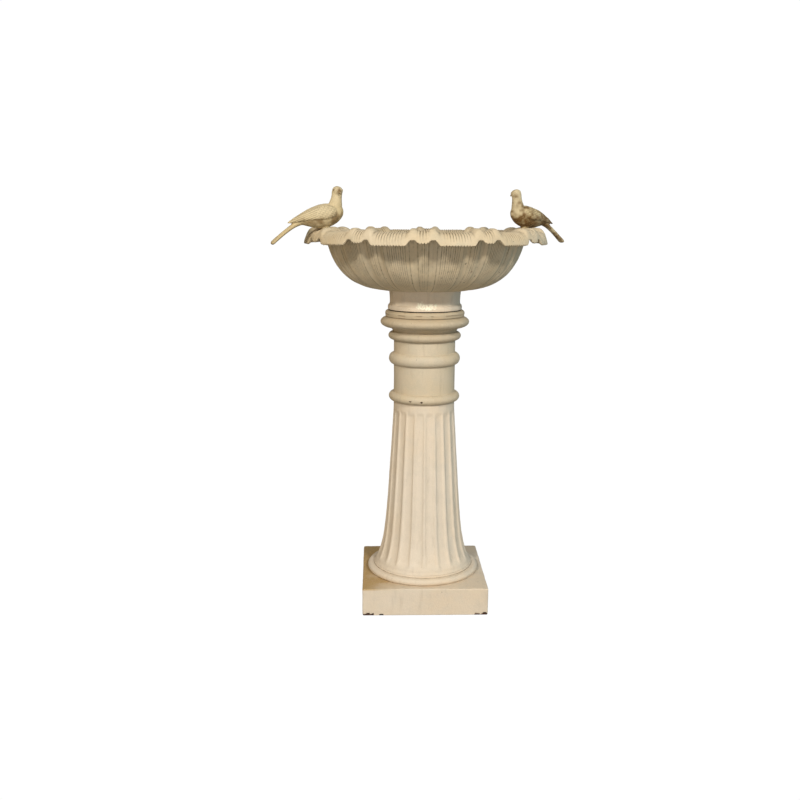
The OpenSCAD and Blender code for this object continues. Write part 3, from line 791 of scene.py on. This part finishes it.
def feathers(p):
    """Feather relief at points of the dove, and how much it counts there."""
    side = np.abs(p[:, 1])
    along, up = p[:, 0], p[:, 2]
    axis_z = np.interp(along, [-74, -55, -25, 4, 18], [10.6, 18.5, 28, 32, 32.5])
    tall = np.interp(along, [-74, -55, -25, 4, 18], [1, 6, 12, 13.5, 7])
    wing = smooth(1.1 - np.abs(up - axis_z) / tall, 0, 0.2) * smooth(side, 3, 7) * (1 - smooth(along, 12, 19))
    v = (up + 0.38 * along) / 4.6
    u = along / 6.2 + 0.5 * (np.floor(v) % 2)
    scale = np.abs(np.sin(np.pi * u)) * (1 - (v - np.floor(v)))
    quill = 0.5 + 0.5 * np.cos(2 * np.pi * (up - 0.42 * along) / 3.8)
    far = smooth(-along, 14, 26)
    relief = wing * ((1 - far) * (0.75 * scale - 0.3) + far * (0.7 * quill - 0.4))
    tail = smooth(-along, 66, 76) * smooth(10 - up, 0, 6)
    return relief + tail * 0.35 * np.cos(2 * np.pi * p[:, 1] / 3.6), wing


def dove(side):
    verts, faces = [], []
    for part, part_faces in dove_parts():
        start = len(verts)
        verts += list(part)
        faces += [tuple(i + start for i in f) for f in part_faces]
    rough = bpy.data.meshes.new("dove_rough")
    rough.from_pydata(np.array(verts).tolist(), [], faces)
    rough.update()
    bm = bmesh.new()
    bm.from_mesh(rough)
    bmesh.ops.recalc_face_normals(bm, faces=bm.faces)
    bm.to_mesh(rough)
    bm.free()
    blank = bpy.data.objects.new("dove_rough", rough)
    bpy.context.collection.objects.link(blank)
    remesh = blank.modifiers.new("remesh", "REMESH")
    remesh.mode = "VOXEL"
    remesh.voxel_size = 0.95
    done = blank.evaluated_get(bpy.context.evaluated_depsgraph_get()).to_mesh()
    p = np.array([v.co[:] for v in done.vertices])
    edges = np.array([e.vertices[:] for e in done.edges])
    faces = [tuple(f.vertices) for f in done.polygons]
    bpy.data.objects.remove(blank)
    bpy.data.meshes.remove(rough)
    beak = smooth(-p[:, 1], 8.5, 11) * smooth(p[:, 2], 60, 64)
    eye = np.exp(-((np.abs(p[:, 0] - 24.2) - 8.8) ** 2 + (p[:, 1] + 7) ** 2 + (p[:, 2] - 73) ** 2) / 5)
    keep = np.clip(beak + eye, 0, 1)[:, None]
    for _ in range(5):
        p = p + 0.55 * (1 - 0.85 * keep) * (neighbour_mean(p, edges) - p)
    shape, wing = feathers(p)
    out = np.stack([np.zeros(len(p)), np.sign(p[:, 1]) * 0.9, np.full(len(p), 0.43)], -1)
    p = p + out * (shape * 0.9)[:, None]
    p = p + 0.22 * np.stack([field(p, 7, k) for k in (61, 62, 63)], -1) * (p[:, 2:3] > 4)
    p[:, 2] = np.where((p[:, 2] < 0.3) & (np.hypot(p[:, 0], p[:, 1]) < 11), 0.0, p[:, 2])
    # painted shade with some dirt: darker in creases and where the surface curves under, between the wing feathers,
    # and darker towards the bottom
    hollow = ((neighbour_mean(p, edges) - p) * np.array([0.2, 0, 1])).sum(-1) * 0.4
    hollow = hollow + 0.26 * np.clip(0.1 - shape, 0, 0.4) * wing + 0.05 * smooth(20 - p[:, 2], 0, 16)
    # painted shade round the beak and face, put into the stain mark with the real stains
    beak_shade = np.exp(-((p[:, 0] - 24.5) / 4.2) ** 2 - ((p[:, 2] - 72 + 0.4 * np.abs(p[:,
                                                                                    0] - 24.5)) / 4.5) ** 2)
    beak_shade = beak_shade * smooth(-p[:, 1], 6, 9)
    stain_and_shade = field(p, 15, 71) * 0.45 + field(p, 6, 72) * 0.35 + 0.35 * np.exp(-((p[:, 2] - 14) / 9) ** 2)
    if side == "right":
        stain_and_shade = smooth(stain_and_shade + 0.25 * smooth(34 - p[:, 2], 0, 14), -0.05, 0.6)
    else:
        breast = np.exp(-((p[:, 0] - 16) / 12) ** 2 - ((p[:, 2] - 25) / 11) ** 2)
        stain_and_shade = 0.75 * smooth(stain_and_shade + 0.42 * breast, 0.2, 0.75) * smooth(p[:, 0], -62, -30)
    stain_and_shade = np.clip(np.maximum(stain_and_shade, np.maximum(beak_shade, 0.9 * (eye > 0.4))), 0, 1)
    turn = math.radians(DOVE_TURN[side])
    face = math.radians(DOVE_TURN[side] + 180 + DOVE_HEADING[side])
    c, s = math.cos(face), math.sin(face)
    place = np.stack([c * p[:, 0] - s * p[:, 1] + CREST_R * math.cos(turn),
                      s * p[:, 0] + c * p[:, 1] + CREST_R * math.sin(turn),
                      p[:, 2] + CREST_Z + SEAT_RISE + DOVE_PLAY], -1)
    body = side + "_dove"
    obj = mesh_object(body + "_casting", place, faces, body, [body], {"hollow": hollow, "stain_and_shade": stain_and_shade})
    return obj


# ---------------------------------------------------------------- materials

class Nodes:
    """Short ways to add and link shader nodes."""

    def __init__(self, name):
        self.material = bpy.data.materials.new(name)
        self.material.use_nodes = True
        self.tree = self.material.node_tree
        self.shader = self.tree.nodes["Principled BSDF"]
        self.coords = self.tree.nodes.new("ShaderNodeTexCoord").outputs["Object"]

    def link(self, a, b):
        self.tree.links.new(a, b)

    def put(self, socket, value):
        if isinstance(value, bpy.types.NodeSocket):
            self.link(value, socket)
        elif value is not None:
            socket.default_value = value

    def noise(self, scale, detail=3.0, rough=0.55, stretch=None):
        node = self.tree.nodes.new("ShaderNodeTexNoise")
        node.inputs["Scale"].default_value = scale
        node.inputs["Detail"].default_value = detail
        node.inputs["Roughness"].default_value = rough
        self.link(self.mapped(stretch) if stretch else self.coords, node.inputs["Vector"])
        return node.outputs["Fac"]

    def mapped(self, stretch):
        node = self.tree.nodes.new("ShaderNodeMapping")
        node.inputs["Scale"].default_value = stretch
        self.link(self.coords, node.inputs["Vector"])
        return node.outputs["Vector"]

    def cells(self, scale):
        node = self.tree.nodes.new("ShaderNodeTexVoronoi")
        node.inputs["Scale"].default_value = scale
        self.link(self.coords, node.inputs["Vector"])
        return node.outputs["Distance"]

    def mark(self, name):
        node = self.tree.nodes.new("ShaderNodeAttribute")
        node.attribute_name = name
        return node.outputs["Fac"]

    def ramp(self, value, low, high, a=0.0, b=1.0):
        node = self.tree.nodes.new("ShaderNodeMapRange")
        node.interpolation_type = "SMOOTHSTEP"
        self.put(node.inputs["Value"], value)
        node.inputs["From Min"].default_value = low
        node.inputs["From Max"].default_value = high
        node.inputs["To Min"].default_value = a
        node.inputs["To Max"].default_value = b
        return node.outputs["Result"]

    def math(self, kind, a, b=None):
        node = self.tree.nodes.new("ShaderNodeMath")
        node.operation = kind
        self.put(node.inputs[0], a)
        self.put(node.inputs[1], b)
        return node.outputs["Value"]

    def mix(self, share, a, b, blend="MIX"):
        node = self.tree.nodes.new("ShaderNodeMix")
        node.data_type = "RGBA"
        node.blend_type = blend
        self.put(node.inputs["Factor"], share)
        self.put(node.inputs["A"], a)
        self.put(node.inputs["B"], b)
        return node.outputs["Result"]

    def bump(self, height, strength, distance, below=None):
        node = self.tree.nodes.new("ShaderNodeBump")
        node.inputs["Strength"].default_value = strength
        node.inputs["Distance"].default_value = distance
        self.link(height, node.inputs["Height"])
        if below:
            self.link(below, node.inputs["Normal"])
        return node.outputs["Normal"]


def rgb(r, g, b):
    """A colour given as a picture shows it, made linear."""
    return tuple((c / 12.92 if c <= 0.04045 else ((c + 0.055) / 1.055) ** 2.4) for c in (r, g, b)) + (1.0,)


def painted_iron(name, cream, warm, grey, grime_and_shade, rust, dirt=1.0, pits=1.0, stain_and_shade_colour=None):
    """Old matt paint over cast iron: clouded colour, painted shade and dirt in the hollows, lighter convex edges, pits
    and rust chips.
    """
    n = Nodes(name)
    clouds = n.ramp(n.noise(5.5, 3), 0.36, 0.66)
    blotches = n.ramp(n.noise(38, 4, 0.6), 0.42, 0.68)
    runs = n.ramp(n.noise(1.0, 4, 0.6, stretch=(110, 110, 16)), 0.52, 0.80)
    grain = n.noise(900, 2, 0.6)
    lumps = n.noise(210, 3, 0.6)
    hollow = n.mark("hollow")
    # painted shade together with dirt: the hollows turn towards the grime colour
    hollow_shade_and_dirt = n.math("MULTIPLY", n.ramp(hollow, 0.02, 0.22), n.ramp(n.noise(60, 4), 0.25, 0.6, 0.45, 1.0))
    edge = n.math("MULTIPLY", n.ramp(hollow, -0.06, -0.22), n.ramp(n.noise(95, 4), 0.48, 0.66))
    colour = n.mix(clouds, cream, warm)
    colour = n.mix(n.math("MULTIPLY", blotches, 0.4), colour, grey)
    # dirt scales both the dirt runs and the painted shade in the hollows
    colour = n.mix(n.math("MULTIPLY", runs, 0.16 * dirt), colour, grime_and_shade)
    colour = n.mix(n.math("MULTIPLY", hollow_shade_and_dirt, min(1.0, 0.85 * dirt)), colour, grime_and_shade)
    colour = n.mix(n.math("MULTIPLY", edge, 0.35), colour, rgb(0.93, 0.88, 0.78))
    specks = n.math("MULTIPLY", n.ramp(n.cells(95), 0.10, 0.05), n.ramp(n.noise(17, 2), 0.56, 0.64))
    colour = n.mix(n.math("MULTIPLY", specks, 0.85 * pits), colour, rust)
    # the stain mark: real stains and dirt, and on the doves also painted shade round the beak
    if stain_and_shade_colour:
        patchy = n.math("MULTIPLY", n.mark("stain_and_shade"), n.ramp(n.noise(330, 3), 0.25, 0.5, 0.6, 1.0))
        colour = n.mix(patchy, colour, stain_and_shade_colour)
    dust = n.ramp(grain, 0.40, 0.62, 0.95, 1.02)
    colour = n.mix(1.0, colour, dust, "MULTIPLY")
    crust = n.math("MULTIPLY", n.mark("scale"), n.ramp(n.noise(240, 4), 0.35, 0.6))
    colour = n.mix(crust, colour, rgb(0.98, 0.96, 0.86))
    flake = n.ramp(n.mark("chip"), 0.35, 0.6)
    iron = n.mix(n.ramp(n.noise(260, 4), 0.35, 0.65), rgb(0.13, 0.08, 0.055), rgb(0.33, 0.19, 0.10))
    colour = n.mix(flake, colour, iron)
    n.link(colour, n.shader.inputs["Base Color"])
    rough = n.ramp(lumps, 0.3, 0.7, 0.52, 0.72)
    n.link(n.math("MAXIMUM", rough, n.math("MULTIPLY", hollow_shade_and_dirt, 0.8)), n.shader.inputs["Roughness"])
    n.shader.inputs["Specular IOR Level"].default_value = 0.32
    low = n.bump(lumps, 0.35, 0.0012)
    n.link(n.bump(grain, 0.25, 0.0004, low), n.shader.inputs["Normal"])
    return n.material


def steel(name):
    """Dull zinc-coated steel with a little brown in it."""
    n = Nodes(name)
    tint = n.mix(n.ramp(n.noise(180, 4), 0.42, 0.64), rgb(0.55, 0.54, 0.52), rgb(0.36, 0.27, 0.20))
    n.link(tint, n.shader.inputs["Base Color"])
    n.shader.inputs["Metallic"].default_value = 0.85
    n.link(n.ramp(n.noise(420, 3), 0.3, 0.7, 0.38, 0.62), n.shader.inputs["Roughness"])
    n.link(n.bump(n.noise(800, 2), 0.2, 0.0003), n.shader.inputs["Normal"])
    return n.material


def rubber(name):
    """Perished black rubber."""
    n = Nodes(name)
    n.link(n.mix(n.noise(300, 4), rgb(0.10, 0.095, 0.09), rgb(0.20, 0.18, 0.15)),
           n.shader.inputs["Base Color"])
    n.link(n.ramp(n.noise(500, 2), 0.3, 0.7, 0.7, 0.9), n.shader.inputs["Roughness"])
    n.link(n.bump(n.noise(700, 3), 0.3, 0.0003), n.shader.inputs["Normal"])
    return n.material


def dress(obj, material):
    obj.data.materials.clear()
    obj.data.materials.append(material)


# ---------------------------------------------------------------- the object

PAINT = painted_iron("aged_cream_paint", rgb(0.90, 0.845, 0.765), rgb(0.895, 0.825, 0.725),
                     rgb(0.85, 0.805, 0.73),
                     rgb(0.47, 0.38, 0.25), rgb(0.22, 0.13, 0.07), 1.0, 1.0, rgb(0.74, 0.62, 0.42))
# a darker, yellower copy of the same cream paint for the neck: painted shade against the light falling on it from
# above
UPPER_SHADED_PAINT = painted_iron("upper_shaded_cream_paint", rgb(0.835, 0.78, 0.685), rgb(0.82, 0.75, 0.63),
                           rgb(0.775, 0.735, 0.645),
                           rgb(0.43, 0.35, 0.23), rgb(0.22, 0.13, 0.07), 1.2)
# a still darker copy for the capital: painted shade on the torus, whose upper face catches the lamps
CAPITAL_SHADED_PAINT = painted_iron("capital_shaded_cream_paint", rgb(0.785, 0.725, 0.625), rgb(0.77, 0.695, 0.575),
                             rgb(0.72, 0.68, 0.585),
                             rgb(0.40, 0.33, 0.22), rgb(0.22, 0.13, 0.07), 1.3)
BASIN_PAINT = painted_iron("basin_paint", rgb(0.85, 0.785, 0.67), rgb(0.83, 0.75, 0.61),
                           rgb(0.76, 0.72, 0.62),
                           rgb(0.33, 0.27, 0.17), rgb(0.20, 0.12, 0.06),
                           dirt=1.15, pits=1.2, stain_and_shade_colour=rgb(0.40, 0.39, 0.30))
DOVE_PAINT = painted_iron("dove_paint", rgb(0.84, 0.775, 0.63), rgb(0.80, 0.71, 0.52), rgb(0.69, 0.62, 0.48),
                          rgb(0.22, 0.15, 0.08), rgb(0.16, 0.09, 0.05),
                          dirt=1.2, stain_and_shade_colour=rgb(0.45, 0.33, 0.17))
STEEL = steel("dull_steel")
RUBBER = rubber("perished_rubber")

for casting in (plinth(), foot_ring(), fluted_shaft(), basin_collar()):
    dress(casting, PAINT)
dress(neck(), UPPER_SHADED_PAINT)
dress(capital(), CAPITAL_SHADED_PAINT)
dress(basin(), BASIN_PAINT)

for side in ("left", "right"):
    dress(dove(side), DOVE_PAINT)
    dress(dove_seat(side), BASIN_PAINT)

for node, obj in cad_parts.items():
    if node == "bedding_washer":
        dress(obj, RUBBER)
    else:
        dress(obj, STEEL)


# ---------------------------------------------------------------- camera, floor and light

def camera():
    """Seen from just above the rim, a little to the left of square on, about 1.9 m away."""
    distance, height = 1.9138, 0.7984
    around, pan, tilt, roll = (math.radians(v) for v in (-2.017, 1.511, 11.028, 0.244))
    place = Vector((distance * math.sin(around), -distance * math.cos(around), height))
    yaw = around + pan
    ahead = Vector((-math.sin(yaw) * math.cos(tilt), math.cos(yaw) * math.cos(tilt), -math.sin(tilt)))
    right = Vector((math.cos(yaw), math.sin(yaw), 0))
    up = right.cross(ahead)
    right, up = right * math.cos(roll) + up * math.sin(roll), up * math.cos(roll) - right * math.sin(roll)
    data = bpy.data.cameras.new("camera")
    data.sensor_width = 36
    data.lens = 41.685
    data.clip_end = 50
    obj = bpy.data.objects.new("camera", data)
    obj.matrix_world = Matrix((right, up, -ahead)).transposed().to_4x4()
    obj.location = place
    bpy.context.collection.objects.link(obj)
    bpy.context.scene.camera = obj


def area_light(name, place, aim, size, power, colour):
    data = bpy.data.lights.new(name, "AREA")
    data.shape = "RECTANGLE"
    data.size, data.size_y = size
    data.energy = power
    data.color = colour
    obj = bpy.data.objects.new(name, data)
    obj.location = place
    obj.rotation_euler = (Vector(aim) - Vector(place)).to_track_quat("-Z", "Y").to_euler()
    bpy.context.collection.objects.link(obj)


def seen_white(tree, strength, other, target):
    """White to the camera, and another shader for the light it sends to the object."""
    white = tree.nodes.new("ShaderNodeEmission")
    white.inputs["Color"].default_value = (1, 1, 1, 1)
    white.inputs["Strength"].default_value = strength
    share = tree.nodes.new("ShaderNodeMixShader")
    tree.links.new(tree.nodes.new("ShaderNodeLightPath").outputs["Is Camera Ray"], share.inputs["Fac"])
    tree.links.new(other, share.inputs[1])
    tree.links.new(white.outputs["Emission"], share.inputs[2])
    tree.links.new(share.outputs["Shader"], target)


def studio():
    """White floor and surround, two soft lamps in front and a warm and a cool one at the sides."""
    size = 14.0
    mesh = bpy.data.meshes.new("floor")
    mesh.from_pydata([(-size, -size, 0), (size, -size, 0), (size, size, 0), (-size, size, 0)], [],
                     [(0, 1, 2, 3)])
    floor = bpy.data.objects.new("floor", mesh)
    bpy.context.collection.objects.link(floor)
    n = Nodes("floor_white")
    n.shader.inputs["Base Color"].default_value = (0.34, 0.33, 0.31, 1)
    n.shader.inputs["Roughness"].default_value = 0.9
    n.shader.inputs["Specular IOR Level"].default_value = 0.1
    seen_white(n.tree, 1.02, n.shader.outputs["BSDF"], n.tree.nodes["Material Output"].inputs["Surface"])
    floor.data.materials.append(n.material)
    world = bpy.data.worlds.new("surround")
    bpy.context.scene.world = world
    world.use_nodes = True
    back = world.node_tree.nodes["Background"]
    back.inputs["Color"].default_value = (1.0, 0.97, 0.93, 1)
    back.inputs["Strength"].default_value = 0.17
    seen_white(world.node_tree, 1.02, back.outputs["Background"],
               world.node_tree.nodes["World Output"].inputs["Surface"])
    area_light("lamp_left", (-1.3, -3.1, 2.45), (0, 0, 0.5), (0.32, 0.32), 61, (1.0, 0.965, 0.90))
    area_light("lamp_right", (1.3, -3.1, 2.6), (0, 0, 0.5), (0.32, 0.32), 70, (1.0, 0.975, 0.93))
    area_light("fill_front", (-0.2, -4.2, 0.5), (0, 0, 0.3), (1.8, 1.8), 34, (1.0, 0.98, 0.95))
    area_light("side_warm", (-2.4, 0.5, 0.9), (0, 0, 0.5), (1.2, 1.6), 7, (1.0, 0.66, 0.22))
    area_light("side_cool", (2.4, 0.5, 0.9), (0, 0, 0.5), (1.2, 1.6), 10, (0.42, 0.80, 1.0))


camera()
studio()
bpy.context.scene.view_settings.view_transform = "Standard"
